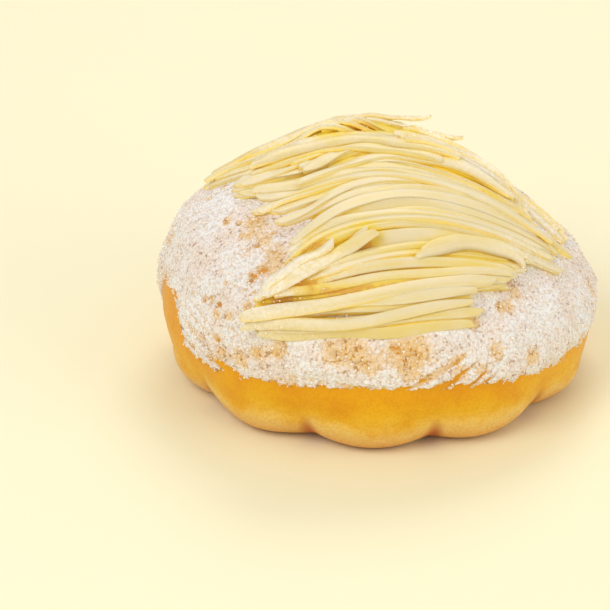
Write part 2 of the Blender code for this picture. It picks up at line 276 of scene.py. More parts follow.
def add_range(tree, value, low, high, new_low=0.0, new_high=1.0):
    """A value carried smoothly from one range to another, and held at its ends."""
    feeds = {"Value": value, "From Min": low, "From Max": high, "To Min": new_low, "To Max": new_high}
    return add_node(tree, "ShaderNodeMapRange", feeds, interpolation_type="SMOOTHSTEP").outputs["Result"]


def mottle_group():
    """Node group: coarse blotches and fine grain on Object coordinates, each from 0 to 1."""
    group = bpy.data.node_groups.new("mottle", "ShaderNodeTree")
    for title in ("Blotches per Metre", "Grains per Metre"):
        group.interface.new_socket(title, in_out="INPUT", socket_type="NodeSocketFloat")
    for title in ("Blotches", "Grain"):
        group.interface.new_socket(title, in_out="OUTPUT", socket_type="NodeSocketFloat")
    given = group.nodes.new("NodeGroupInput")
    place = add_node(group, "ShaderNodeTexCoord", {}).outputs["Object"]
    coarse = add_node(group, "ShaderNodeTexNoise",
                      {"Vector": place, "Scale": given.outputs[0], "Detail": 4.0, "Roughness": 0.55})
    fine = add_node(group, "ShaderNodeTexNoise",
                    {"Vector": place, "Scale": given.outputs[1], "Detail": 2.0, "Roughness": 0.6})
    add_node(group, "NodeGroupOutput", {"Blotches": coarse.outputs[0], "Grain": fine.outputs[0]})
    return group


mottle = mottle_group()


def start_material(name, blotches, grains):
    """A new material's tree, its Principled shader, and the blotches and grain of the mottle group."""
    material = bpy.data.materials.new(name)
    material.use_nodes = True
    tree = material.node_tree
    spots = add_node(tree, "ShaderNodeGroup", {}, node_tree=mottle)
    feed_inputs(tree, spots, {"Blotches per Metre": blotches, "Grains per Metre": grains})
    return material, tree, tree.nodes["Principled BSDF"], spots.outputs["Blotches"], spots.outputs["Grain"]


def attribute(tree, title):
    """A float attribute of the mesh."""
    return add_node(tree, "ShaderNodeAttribute", {}, attribute_name=title).outputs["Fac"]


def set_shader(tree, shader, feeds, height, depth):
    """Feed a Principled shader, and its normal from a bump of this height socket, this deep."""
    bump = add_node(tree, "ShaderNodeBump", {"Height": height, "Strength": 1.0, "Distance": depth})
    feed_inputs(tree, shader, {**feeds, "Normal": bump.outputs["Normal"]})


def crust_material():
    """Baked crust: paler low on the foot, partly a painted highlight, deep gold above, orange under the
    coat, and darker brown in the creases, partly painted shade.
    """
    material, tree, shader, blotches, grain = start_material("golden crust", blotches=90.0, grains=1400.0)
    place = add_node(tree, "ShaderNodeTexCoord", {}).outputs["Object"]
    height = add_node(tree, "ShaderNodeSeparateXYZ", {"Vector": place}).outputs["Z"]
    uneven = add_math(tree, "MULTIPLY_ADD", blotches, CRUST_WAVER, -CRUST_WAVER / 2)
    share = add_math(tree, "DIVIDE", add_math(tree, "ADD", height, uneven), CRUST_TOP)
    baked = add_ramp(tree, share, CRUST_STOPS)
    # Darker brown in the creases: partly the crust's own colour, partly painted shade in the crevices
    # between the lobes
    baked = blend(tree, attribute(tree, "groove"), baked, CREASE_SHADE_COLOUR)
    baked = blend(tree, add_range(tree, blotches, 0.4, 0.7, 0.0, 0.4), baked, CRUST_BLOTCH)
    baked = blend(tree, add_range(tree, grain, 0.4, 0.66, 0.0, 0.3), baked, CRUST_FLECK)
    rough = add_range(tree, grain, 0.2, 0.8, 0.34, 0.5)
    set_shader(tree, shader, {"Base Color": baked, "Roughness": rough, "Subsurface Weight": 0.08,
                              "Subsurface Radius": (1.0, 0.45, 0.15), "Subsurface Scale": 3.0 * MM,
                              "Specular IOR Level": 0.25}, height=grain, depth=0.04 * MM)
    return material


# Crust colours by height, as a share of the crust's top. The pale band low on the foot is partly the
# crust's paler colour there and partly a painted highlight, the sheen and bounced light on the lower lobes.
CRUST_TOP = 50.0 * MM
CRUST_WAVER = 12.0 * MM
CRUST_STOPS = (
    (0.0, (221, 160, 82)), (0.06, (232, 184, 98)), (0.1, (233, 195, 112)), (0.135, (234, 197, 104)),
    (0.17, (235, 193, 82)), (0.21, (235, 185, 46)), (0.25, (233, 178, 20)), (0.32, (231, 168, 6)),
    (0.4, (229, 161, 5)), (0.6, (226, 157, 34)), (0.75, (226, 160, 80)), (1.0, (226, 158, 88)),
)
# Crease colour: darker brown, partly painted shade
CREASE_SHADE_COLOUR = (174, 82, 8)
CRUST_BLOTCH = (216, 136, 4)
CRUST_FLECK = (208, 132, 24)

# Each row's share runs 0 to 1 over the base, to 2 up the foot, to 3 up the wall, to 4 over the dome
bread_share = np.concatenate([np.full(rows, number) + np.arange(rows) / rows
                              for number, rows in enumerate(BREAD_ROWS.values())]
                             + [[len(BREAD_ROWS)]])[1:, None]
inner, foot, wall, dome = (np.clip(bread_share - number, 0, 1) for number in range(len(BREAD_ROWS)))
side_height = BULGE_HEIGHT * (1 - np.cos(foot * np.pi / 2)) + (RIM_HEIGHT - BULGE_HEIGHT) * wall
bread_column = np.arange(BREAD_COLUMNS)[None, :] * LOBES / BREAD_COLUMNS
bread_grid = bread_surface(bread_column, (side_height - RIM_HEIGHT) / CLIMB_STEP + 90 * dome)
bread_grid[..., :2] *= inner[..., None]
relief = LUMP_RELIEF * (2 * noise(bread_grid, LUMP_SIZE, seed=11) - 1)
relief += WRINKLE_RELIEF * (2 * noise(bread_grid, WRINKLE_SIZE, seed=12) - 1)
relief *= np.clip(bread_grid[..., 2] / RELIEF_START, 0, 1)
# How far each point lies in a crease, where the crust takes the crease colour, partly painted shade
groove = crease_share(bread_column, bread_grid[..., 2]) * inner
bread_grid += surface_normals(bread_grid) * relief[..., None]
bread = add_mesh("baked_bread", with_poles(bread_grid), closed_faces(*bread_grid.shape[:2]),
                 groove=with_poles(groove))
bread.data.materials.append(crust_material())
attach(bread, "root")
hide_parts("bun")


# Sugar coat: butter spread over the dome and dusted with fine sugar and milk powder, which stick in a
# thin, grainy layer. Its lower edge is ragged, with streaks where the brush ran dry, and thin spots let
# the orange crust through. It takes the place of the even skin.
COAT_TOP = 1.1 * MM
COAT_UNDER = -0.9 * MM
COAT_COLUMNS = 560
COAT_ROWS = 150
COAT_UNDER_ROWS = 12
COAT_ROW_CROWDING = 1.25
EDGE_CLIMB = -2.0
EDGE_WAVES = 3
EDGE_WAVE = 3.3
EDGE_WAVE_AZIMUTH = -3.0
BARE_AZIMUTH = -74.5
BARE_WIDTH = 11.0
BARE_CLIMB = 14.5
DROOP_AZIMUTH = -49.0
DROOP_WIDTH = 4.0
DROOP_CLIMB = 2.0
EDGE_MARGIN = 6.0
EDGE_TAPER = 3.6 * MM
EDGE_POWER = 0.6
CLUMP_SIZE = 2.6 * MM
CLUMP_RAGGED = 1.9 * MM
CLUMP_FINE = 0.7 * MM
CRUMB_SIZE = 1.1 * MM
CRUMB_RELIEF = 0.2 * MM
CRUMB_MEAN = 0.45
FINE_CRUMB_SIZE = 0.6 * CRUMB_SIZE
FINE_CRUMB_RELIEF = 0.5 * CRUMB_RELIEF
EDGE_CRUMBS = 0.35
DRIFT_SIZE = 6.5 * MM
DRIFT_RELIEF = 1.3 * MM
STREAK_SIZE = (6.0 * MM, 6.0 * MM, 0.9 * MM)
STREAK_GAIN = 3.4
STREAK_CUT = 1.6
STREAK_EVERYWHERE = 0.2
STREAK_REACH = 7.0 * MM
STREAK_DEPTH = 1.7 * MM
SPOT_SIZE = 1.2 * MM
SPOT_SHARE = 0.45
THIN_LOSS = 0.4 * MM
BARE_LOSS = 1.3 * MM
BARE_START = 0.87
BARE_RANGE = 0.25
ZONE_THINNESS = 0.95
STREAK_THINNESS = 1.3
EDGE_THINNESS = 0.9
THIN_HEIGHT = 0.55 * COAT_TOP

# Curvature of the streaks, per metre, to the left and to the right of the front
STREAK_BENDS = (8.0, 26.0)

# Dry spots, where the streaks are strong: azimuth and reach in degrees
STREAK_SPOTS = ((-50.0, 18.0), (18.0, 13.0), (140.0, 22.0), (-150.0, 20.0))

# Thin zones: column in lobes, climb, radius in millimetres, and how thin the coat is there
THIN_ZONES = (
    (-2.04, 54, 3.0, 0.75), (-1.94, 49, 1.4, 0.9), (-1.74, 51, 2.5, 0.6), (-1.52, 48, 2.2, 0.5),
    (-1.45, 42, 3.3, 0.5), (-1.55, 40, 1.4, 1.0), (-1.58, 36, 1.6, 0.85), (-2.29, 48, 1.6, 0.75),
    (-2.84, 45, 1.4, 0.8), (-2.9, 51, 1.6, 0.6), (-1.91, 18, 0.8, 0.85), (-1.82, 20, 0.8, 0.95),
    (-1.74, 20, 0.8, 0.9), (-1.73, 16, 1.4, 0.9), (-1.62, 18, 1.6, 0.7), (-1.7, 7, 1.4, 1.0),
    (-1.49, 25, 1.2, 0.85), (-1.65, 2, 2.4, 0.7), (-1.47, 4, 2.7, 0.75), (-1.32, 8, 2.7, 0.8),
    (-1.17, 12, 2.9, 0.8), (-0.77, 15, 4.0, 0.72), (-0.62, 16, 4.6, 0.82), (-0.5, 12, 3.4, 0.7),
    (-0.3, 17, 4.4, 0.82), (-0.17, 18, 4.4, 0.85), (-0.22, 10, 3.4, 0.78), (0.45, 14, 2.8, 0.7),
    (0.75, 6, 2.7, 0.75), (0.62, 29, 1.9, 0.8), (0.33, 26, 1.9, 0.7), (0.14, 7, 2.5, 0.65),
    (0.31, 7, 2.2, 0.6), (1.8, 40, 3.0, 0.6), (2.4, 14, 3.5, 0.7), (3.3, 25, 3.5, 0.7),
    (4.6, 32, 4.5, 0.6), (-3.9, 20, 4.0, 0.75), (-3.2, 8, 3.0, 0.7), (-1.92, 53, 4.4, 0.5),
    (-1.54, 48, 4.1, 0.5), (-1.43, 40, 3.3, 0.42), (-1.79, 43, 2.5, 0.35), (-1.76, 29, 0.7, 0.7),
    (-1.67, 30, 0.7, 0.7), (-1.59, 30, 0.7, 0.7), (-1.5, 30, 0.7, 0.6), (0.86, 32, 2.5, 0.72),
    (0.71, 29, 2.2, 0.75), (-1.85, 21, 0.8, 0.7), (-1.85, 5, 0.8, 0.8), (1.38, 36, 1.6, 0.5),
    (2.9, 42, 4.0, 0.6), (3.9, 16, 3.0, 0.7), (4.4, 10, 2.5, 0.65), (-4.4, 38, 4.0, 0.6),
    (-3.6, 47, 3.5, 0.55), (-4.8, 14, 3.0, 0.7), (1.9, 12, 2.8, 0.65), (-2.8, 22, 2.4, 0.7),
    (2.6, 24, 2.0, 0.8), (-4.1, 9, 2.2, 0.8), (-2.84, 45, 1.0, 0.9), (-2.27, 47, 1.0, 0.9),
    (-2.15, 50, 1.0, 1.0), (-1.99, 48, 0.9, 1.0), (-1.73, 55, 0.9, 1.0), (-1.76, 48, 1.0, 1.0),
    (-1.57, 35, 1.3, 1.0), (-1.29, 42, 0.8, 0.9), (-2.05, 18, 0.7, 0.9), (-1.9, 19, 0.9, 1.0),
    (-1.76, 20, 0.8, 1.0), (-1.5, 24, 1.0, 1.0), (-1.84, 4, 0.9, 1.0), (-1.69, 7, 0.9, 1.0),
    (-1.35, 8, 1.0, 0.9), (-1.2, 10, 1.1, 1.0), (-1.56, 3, 0.9, 0.95), (-1.43, 2, 0.9, 0.95),
)


def degrees_from(azimuth, spot):
    """Degrees from a spot's azimuth to an azimuth, from -180 to 180."""
    return (azimuth - spot + 180) % 360 - 180


def coat_edge(azimuth):
    """Climb of the coat's lower edge: three slow waves round the bun, a bare stretch on the left with
    steep ends, and a droop beside it."""
    wave = EDGE_WAVE * np.cos(np.radians(EDGE_WAVES * (azimuth - EDGE_WAVE_AZIMUTH)))
    wave = wave + BARE_CLIMB * np.exp(-(degrees_from(azimuth, BARE_AZIMUTH) / BARE_WIDTH) ** 4)
    droop = DROOP_CLIMB * np.exp(-(degrees_from(azimuth, DROOP_AZIMUTH) / DROOP_WIDTH) ** 2)
    return EDGE_CLIMB + wave - droop


def pebbles(points, size, seed):
    """Round bumps from 0 to 1: one minus the distance to the nearest of a set of points, one to each
    cube of a lattice and moved at random inside it."""
    corner = np.floor(points / size).astype(int)
    nearest = np.full(points.shape[:-1], 2.0)
    for step in np.ndindex(3, 3, 3):
        cube = corner + np.array(step) - 1
        middle = cube + np.stack([lattice_value(cube, seed + axis) for axis in range(3)], axis=-1)
        nearest = np.minimum(nearest, np.linalg.norm(points / size - middle, axis=-1))
    return np.clip(1 - nearest, 0, 1)


def thin_share(points):
    """How thin the coat is, from 0 to 1: flat-topped bell curves round the thin zones, joined softly."""
    kept = np.ones(points.shape[:-1])
    for column, climb, radius, strength in THIN_ZONES:
        middle = bread_surface(np.array(column), np.array(float(climb)))
        away = np.linalg.norm(points - middle, axis=-1) / (radius * MM)
        kept = kept * (1 - strength * np.exp(-away ** 3))
    return 1 - kept


def streak_share(points, azimuth):
    """How dry the brush ran, from 0 to 1: noise stretched along parabolas that rise away from the front,
    less on the left than on the right, strong at the dry spots."""
    x, y, z = np.moveaxis(points, -1, 0)
    bend = np.where(x < 0, *STREAK_BENDS) * x ** 2 / 2
    line = noise(np.stack([x, y, z - bend], axis=-1) / STREAK_SIZE, 1.0, seed=23)
    dry = sum(np.exp(-(degrees_from(azimuth, spot) / reach) ** 4) for spot, reach in STREAK_SPOTS)
    strength = STREAK_EVERYWHERE + (1 - STREAK_EVERYWHERE) * dry
    return np.clip(STREAK_GAIN * line - STREAK_CUT, 0, 1) * strength


def coat_lift(points, azimuth, climb):
    """Height of the coat over the bread, and how thin it is from 0 to 1.

    It rises as a root from its ragged edge to full height, less the thin zones and streaks, plus slow
    drifts and fine crumbs. Where it comes out below nothing it lies under the crust, and isn't seen.
    """
    up = (climb - coat_edge(azimuth)) * CLIMB_STEP
    clumps = noise(points, CLUMP_SIZE, seed=21) + noise(points, CLUMP_SIZE / 2, seed=22) - 1
    clumps = CLUMP_RAGGED * clumps + CLUMP_FINE * (2 * noise(points, CLUMP_SIZE / 5, seed=26) - 1)
    body = np.clip((up + clumps) / EDGE_TAPER, -1, 1)
    cover = np.sign(body) * np.abs(body) ** EDGE_POWER
    streak = streak_share(points, azimuth) * np.exp(-np.maximum(up, 0) / STREAK_REACH)
    thin = thin_share(points)
    patchy = thin * (SPOT_SHARE + noise(points, SPOT_SIZE, seed=31))
    bare = np.clip((patchy - BARE_START) / BARE_RANGE, 0, 1)
    drift = DRIFT_RELIEF * (noise(points, DRIFT_SIZE, seed=24) - 0.5)
    crumbs = CRUMB_RELIEF * (pebbles(points, CRUMB_SIZE, seed=25) - CRUMB_MEAN)
    crumbs += FINE_CRUMB_RELIEF * (noise(points, FINE_CRUMB_SIZE, seed=28) - 0.5)
    full = COAT_TOP * cover + drift * np.clip(body, 0, 1) - STREAK_DEPTH * streak - BARE_LOSS * bare
    lift = full - THIN_LOSS * thin * cover + crumbs * np.clip(EDGE_CRUMBS + cover, 0, 1)
    thinness = np.maximum(ZONE_THINNESS * thin, STREAK_THINNESS * streak)
    thinness = np.maximum(thinness, EDGE_THINNESS - full / THIN_HEIGHT)
    return lift, np.clip(thinness, 0, 1)


def coat_material():
    """Sugar and milk powder in butter: near white, peach and golden where thin, with painted shade in the
    gaps between its grains.
    """
    material, tree, shader, blotches, grain = start_material("sugar coat", blotches=110.0, grains=800.0)
    place = add_node(tree, "ShaderNodeTexCoord", {}).outputs["Object"]
    cells = add_node(tree, "ShaderNodeTexVoronoi",
                     {"Vector": place, "Scale": PINHOLES_PER_METRE, "Randomness": 1.0})
    gap_shade = add_range(tree, cells.outputs["Distance"], 0.4, 0.8)
    thin = add_math(tree, "ADD", attribute(tree, "thin"), add_range(tree, grain, 0.32, 0.68, -0.2, 0.2))
    white = blend(tree, add_range(tree, blotches, 0.38, 0.66), COAT_WHITE, COAT_PINK)
    buttery = add_ramp(tree, thin, COAT_THIN_STOPS)
    spread = blend(tree, add_range(tree, thin, 0.12, 0.5), white, buttery)
    specks = add_math(tree, "MULTIPLY", add_range(tree, grain, 0.56, 0.68),
                      add_range(tree, blotches, 0.38, 0.6, 0.35, 0.8))
    spread = blend(tree, specks, spread, COAT_SPECK, "MULTIPLY")
    # Painted shade: darker where the grain bump is low, in the gaps between grains
    spread = blend(tree, add_math(tree, "MULTIPLY", gap_shade, 0.45), spread, COAT_GAP_SHADE, "MULTIPLY")
    rough = add_range(tree, grain, 0.2, 0.8, 0.7, 0.95)
    height = add_math(tree, "ADD", grain, add_math(tree, "MULTIPLY", cells.outputs["Distance"], -0.8))
    set_shader(tree, shader, {"Base Color": spread, "Roughness": rough, "Subsurface Weight": 0.12,
                              "Subsurface Radius": (1.0, 0.75, 0.5), "Subsurface Scale": 0.8 * MM,
                              "Specular IOR Level": 0.3}, height=height, depth=0.4 * MM)
    return material


COAT_WHITE = (243, 242, 241)
COAT_PINK = (239, 227, 217)
COAT_SPECK = (196, 166, 146)
# Painted shade for the gaps between the coat's grains
COAT_GAP_SHADE = (222, 200, 186)
COAT_THIN_STOPS = ((0.0, (241, 231, 219)), (0.35, (239, 217, 190)),
                   (0.7, (236, 207, 160)), (1.0, (231, 188, 116)))
PINHOLES_PER_METRE = 1250.0

coat_column = np.arange(COAT_COLUMNS)[None, :] * LOBES / COAT_COLUMNS
coat_azimuth = column_azimuth(coat_column)
skirt = coat_edge(coat_azimuth) - EDGE_MARGIN
outer_share = (np.arange(COAT_ROWS) / COAT_ROWS)[:, None] ** COAT_ROW_CROWDING
under_share = 1 - np.arange(1, COAT_UNDER_ROWS + 1)[:, None] / (COAT_UNDER_ROWS + 1)
coat_climb = skirt + (90 - skirt) * outer_share
coat_base = bread_surface(coat_column, coat_climb)
coat_height, thin = coat_lift(coat_base, coat_azimuth, coat_climb)
coat_outer = coat_base + surface_normals(coat_base) * coat_height[..., None]
coat_under = bread_surface(coat_column, skirt + (90 - skirt) * under_share, COAT_UNDER)
coat_grid = np.concatenate([coat_under, coat_outer])
coat_thin = np.concatenate([np.ones((COAT_UNDER_ROWS, COAT_COLUMNS)), thin])
coat = add_mesh("sugar_spread", with_poles(coat_grid), closed_faces(*coat_grid.shape[:2]),
                thin=with_poles(coat_thin))
coat.data.materials.append(coat_material())
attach(coat, "root")
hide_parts("sugar_coat")


# Cheese bed: the lowest strips of the heap, pressed into one soft layer that fills the gaps under the
# others. It lies on the coat, thinner and smaller than the heap, and only shows between strips, all in the
# gold painted shade of the heap's gaps.
SEAT = 1.1 * MM
BED_CENTRE = (2.0 * MM, -6.0 * MM)
BED_REACH = (37.0 * MM, 33.0 * MM)
BED_NOTCH = 0.42
BED_NOTCH_AZIMUTH = -74.0
BED_NOTCH_WIDTH = 34.0
BED_THICKNESS = 1.2 * MM
BED_SHAPE = (160, 60)
BED_SINK = 0.2 * MM
BED_RIPPLE = 0.5 * MM
RIPPLE_SIZE = 2.5 * MM
RIPPLE_STRETCH = 4
STEEPEST_SHARE = 0.985


def dome_point(plan, lift):
    """Points on the dome, lifted off the bread, over plan points given in metres: the same superellipse
    as the bread's, from the plan distance as a share of the rim's radius."""
    azimuth = np.degrees(np.arctan2(plan[..., 0], -plan[..., 1]))
    share = np.minimum(np.hypot(plan[..., 0], plan[..., 1]) / RIM_RADIUS, STEEPEST_SHARE)
    turn = np.arccos(share ** (fullness(azimuth) / 2))
    height = dome_height(azimuth, turn, share * RIM_RADIUS, lift)
    return round_place(azimuth, share * (RIM_RADIUS + lift), height)


def bed_reach(azimuth):
    """Reach of the bed's edge as a share of its ellipse: notched where the coat shows on the left."""
    return 1 - BED_NOTCH * np.exp(-(degrees_from(azimuth, BED_NOTCH_AZIMUTH) / BED_NOTCH_WIDTH) ** 2)


def bed_top(plan):
    """Height of the bed over the coat at plan points: a flattened dome that ends at its edge."""
    offset = (plan - np.array(BED_CENTRE)) / np.array(BED_REACH)
    azimuth = np.degrees(np.arctan2(offset[..., 0], -offset[..., 1]))
    share = np.hypot(offset[..., 0], offset[..., 1]) / bed_reach(azimuth)
    return BED_THICKNESS * np.sqrt(np.clip(1 - share ** 2, 0, 1))


def cheese_material():
    """Young cheese: pale yellow, with gold painted shade low in the heap and on the strips' sides and
    undersides, browner painted shade in its deepest gaps, a satin skin, and white powder that on the right
    of the heap is partly a painted highlight. A weak painted glow on the sides and undersides stands in for
    the light that comes through."""
    material, tree, shader, blotches, grain = start_material("pale cheese", blotches=140.0, grains=900.0)
    pale = blend(tree, attribute(tree, "tone"), CHEESE_PALE, CHEESE_YELLOW)
    pale = blend(tree, add_range(tree, blotches, 0.4, 0.7, 0.0, 0.4), pale, CHEESE_CREAM)
    # Painted shade: gold where the depth attribute is high, in the heap's pits and on the strips' sides and
    # undersides, and browner still where it is deepest
    deep = blend(tree, attribute(tree, "depth"), pale, CHEESE_SHADE_GOLD)
    deep_gap_shade = add_math(tree, "MULTIPLY", add_range(tree, attribute(tree, "depth"), 0.8, 1.0),
                       add_range(tree, blotches, 0.48, 0.58, 0.0, 0.8))
    deep = blend(tree, deep_gap_shade, deep, CHEESE_DEEP_SHADE)
    # White powder, and on the right of the heap the same whitening as a painted highlight
    powder = add_math(tree, "MULTIPLY", attribute(tree, "dusted"),
                      add_range(tree, grain, 0.4, 0.6, 0.35, 1.0))
    deep = blend(tree, powder, deep, CHEESE_DUST_AND_HIGHLIGHT)
    rough = add_range(tree, blotches, 0.3, 0.7, 0.36, 0.52)
    # Painted glow: emitted gold on the sides and undersides, standing in for light that comes through the
    # cheese
    painted_glow = blend(tree, attribute(tree, "under"), NO_GLOW, CHEESE_PAINTED_GLOW)
    set_shader(tree, shader, {"Base Color": deep, "Roughness": rough, "Subsurface Weight": 0.2,
                              "Subsurface Radius": (1.0, 0.8, 0.4), "Subsurface Scale": 1.0 * MM,
                              "Emission Color": painted_glow, "Emission Strength": GLOW_STRENGTH,
                              "Specular IOR Level": 0.4}, height=grain, depth=0.04 * MM)
    return material


# Colours: the gold and the browner one are painted shade for the heap's gaps and the strips' undersides,
# the glow colour is a painted glow, and the powder colour is partly a painted highlight
CHEESE_PALE = (228, 214, 175)
CHEESE_YELLOW = (228, 207, 134)
CHEESE_CREAM = (232, 220, 194)
CHEESE_SHADE_GOLD = (233, 205, 74)
CHEESE_DEEP_SHADE = (216, 162, 74)
CHEESE_DUST_AND_HIGHLIGHT = (246, 238, 222)
CHEESE_PAINTED_GLOW = (255, 214, 80)
NO_GLOW = (0, 0, 0)
GLOW_STRENGTH = 0.2

bed_turn = (np.arange(1, BED_SHAPE[1]) / BED_SHAPE[1] * np.pi)[:, None]
bed_azimuth = np.arange(BED_SHAPE[0])[None, :] * 360.0 / BED_SHAPE[0]
bed_outward = np.stack([np.sin(np.radians(bed_azimuth)), -np.cos(np.radians(bed_azimuth))], axis=-1)
bed_plan = bed_outward * (bed_reach(bed_azimuth) * np.sin(bed_turn))[..., None] * np.array(BED_REACH)
bed_plan = bed_plan + np.array(BED_CENTRE)
bed_lift = SEAT + BED_THICKNESS * np.maximum(-np.cos(bed_turn), 0) - BED_SINK
ripple_place = np.stack([bed_plan[..., 0] / RIPPLE_STRETCH, bed_plan[..., 1],
                         np.zeros(bed_plan.shape[:2])], axis=-1)
bed_lift = bed_lift + BED_RIPPLE * (noise(ripple_place, RIPPLE_SIZE, seed=41) - 0.5) * np.sin(bed_turn)
bed_grid = dome_point(bed_plan, bed_lift)
# The whole bed takes the gold painted shade, with no painted glow and no whitening
everywhere = np.ones(bed_grid.shape[:2])
bed = add_mesh("cheese_bed", with_poles(bed_grid), closed_faces(*bed_grid.shape[:2]),
               tone=with_poles(everywhere), depth=with_poles(everywhere), under=with_poles(0 * everywhere),
               dusted=with_poles(0 * everywhere))
cheese_finish = cheese_material()
bed.data.materials.append(cheese_finish)
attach(bed, "root")
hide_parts("cheese")


# Cheese strips: young cheese pushed through a coarse grater, each strip about 3 mm wide and most of them
# 45 to 85 mm long. They were laid by the pinch, run from left to right over the dome, and drape over
# those below.
WIDTH_SPREAD = 0.8 * MM
STRIP_THICKNESS = (1.1 * MM, 1.5 * MM)
STRIP_RINGS = 50
STRIP_SIDES = 14
STATIONS = 160
STRIP_SQUARENESS = 6.0
PRESS = 0.6 * MM
BRIDGING = 110
SMOOTHING = 25
TILT_LIMIT = 0.55
TILT_PLACE = 0.35
RISE_POWER = 4
RAISE_PLACES = np.linspace(-0.48, 0.48, 9)
LENGTH_STEPS = 20
BOW_SPREAD = 0.6 * MM
DISORDER = 3.0
WOBBLE = 0.25 * MM
WOBBLE_WAVES = (1.0, 2.5)
END_TRIM = (-1.5 * MM, 4.0 * MM)
END_SLANT = 1.2 * MM
END_RINGS = np.array([0.0, 0.2, 0.6]) * MM
END_ROUNDING = 0.2
END_TAPER = 0.45
END_NARROWING = (4.0 * MM, 14.0 * MM)
GRATER_RELIEF = 0.13
LINE_TONE = 0.6
# Painted shade: ring places below the first number, the strips' sides and undersides, take the second's
# share of the gold shade; points lower than the heap's mean within the cells take it over the range
UNDER_TOP = 0.55
UNDERSIDE_SHADE = 0.6
PIT_CELLS = 5
PIT_RANGE = 1.2 * MM
SHIFT = 0.3
STRIP_SEED = 4
LINE_SEED = 9
CELL = 0.5 * MM
HALF_MAP = 66.0 * MM
MAP_SIDE = int(2 * HALF_MAP / CELL)

# Each bunch of strips: four plan points, in millimetres, of its first strip's middle line and of its
# last one's; the rise of the right ends and the strips' width in millimetres; how far a strip's two ends
# stray to opposite sides, counted in places of the bunch; how many strips
BUNCHES = {
    "front foot": (((-32, -47), (-16, -52), (2, -53), (22, -48)),
                   ((-33, -45), (-14, -51), (4, -50), (27, -42)), 0.0, 3.3, 0.3, 3),
    "lower fan": (((-33, -44), (-13, -49), (8, -46), (31, -35)),
                  ((-28, -42), (-12, -38), (9, -33), (39, -22)), 0.0, 3.4, 0.5, 7),
    "middle": (((-25, -41), (-10, -36), (12, -30), (44, -20)),
               ((-22, -29), (-9, -18), (11, -7), (47, -6)), 0.0, 3.5, 0.7, 8),
    "crown low": (((-25, -28), (-11, -18), (9, -8), (45, -9)),
                  ((-46, 9), (-23, 13), (3, 18), (34, 7)), 0.0, 3.5, 0.9, 8),
    "back": (((-43, 6), (-22, 12), (1, 20), (26, 11)),
             ((-17, 20), (-4, 29), (9, 33), (24, 26)), 0.0, 3.2, 0.8, 6),
    "front top": (((-32, -46), (-15, -51), (3, -50), (24, -42)),
                  ((-32, -44), (-13, -48), (5, -46), (28, -36)), 0.0, 3.3, 0.3, 3),
    "lower fan top": (((-31, -45), (-14, -48), (7, -45), (30, -35)),
                      ((-22, -42), (-9, -37), (10, -30), (38, -21)), 0.0, 2.9, 0.5, 5),
    "middle top": (((-22, -40), (-11, -32), (7, -27), (39, -20)),
                   ((-22, -30), (-11, -20), (7, -9), (45, -8)), 0.0, 3.2, 0.9, 6),
    "crown middle": (((-27, -24), (-13, -18), (4, -9), (41, -11)),
                     ((-43, 7), (-24, 11), (-2, 15), (33, 5)), 0.0, 3.2, 1.2, 7),
    "crown top": (((-36, 0), (-19, 6), (3, 12), (34, 3)),
                  ((-26, 12), (-11, 20), (5, 27), (28, 18)), 0.0, 3.0, 1.3, 7),
    "back top": (((-28, 6), (-13, 14), (4, 24), (25, 16)),
                 ((-8, 18), (2, 27), (11, 32), (24, 27)), 0.0, 3.2, 1.2, 6),
    "back left": (((-45, 3), (-30, 8), (-12, 13), (14, 14)),
                  ((-38, 12), (-24, 17), (-8, 22), (16, 22)), 0.0, 3.3, 0.6, 4),
    "crossing": (((-20, -8), (-6, 2), (12, 6), (36, -5)),
                 ((-22, 4), (-8, 12), (8, 20), (28, 10)), 0.0, 3.3, 1.0, 4),
    "short tips": (((-29, -44), (-18, -42), (-7, -36), (4, -28)),
                   ((-29, -43), (-24, -41), (-18, -38), (-12, -34)), 1.0, 3.3, 0.3, 3),
    "curl": (((7, -38), (14, -32), (24, -27), (34, -26)),
             ((7, -35), (14, -29), (24, -23), (35, -22)), 0.0, 3.3, 0.3, 2),
    "stray tips": (((-2, 19), (9, 24), (19, 27), (30, 27)),
                   ((-16, 17), (-8, 21), (0, 24), (9, 27)), 3.8, 2.2, 0.1, 2),
    "top left": (((-36, -4), (-20, 3), (-3, 8), (18, 7)),
                 ((-32, 4), (-16, 11), (2, 14), (22, 12)), 0.0, 3.0, 0.6, 3),
    "right fall": (((4, 11), (19, 11), (35, 6), (50, -2)),
                   ((4, 21), (18, 22), (34, 17), (48, 8)), 0.0, 3.2, 0.6, 5),
}

# Spots where powder fell on the cheese, and on the right of the heap spots where the same whitening is a
# painted highlight: plan position and reach in millimetres, and how strong
POWDER_AND_HIGHLIGHT_SPOTS = ((-30, -45, 10, 1.0), (-22, -44, 12, 0.7), (-30, -18, 7, 0.6), (-36, 2, 7, 0.5),
                (38, -24, 8, 0.6), (30, 16, 12, 0.9), (44, 5, 10, 0.9), (14, 27, 12, 1.0),
                (-12, 22, 10, 0.8), (-26, 14, 9, 0.8))


def powder_and_highlight_share(plan):
    """How dusty the cheese is at plan points, and on the right of the heap how much painted highlight
    whitens it: bell curves round the spots.
    """
    share = np.zeros(plan.shape[:-1])
    for x, y, reach, strength in POWDER_AND_HIGHLIGHT_SPOTS:
        away = np.hypot(plan[..., 0] - x * MM, plan[..., 1] - y * MM) / (reach * MM)
        share = np.maximum(share, strength * np.exp(-away ** 2))
    return share


def map_place(plan):
    """Row and column of the heap's height map at plan points."""
    return tuple(np.moveaxis(np.clip(((plan + HALF_MAP) / CELL).astype(int), 0, MAP_SIDE - 1), -1, 0))


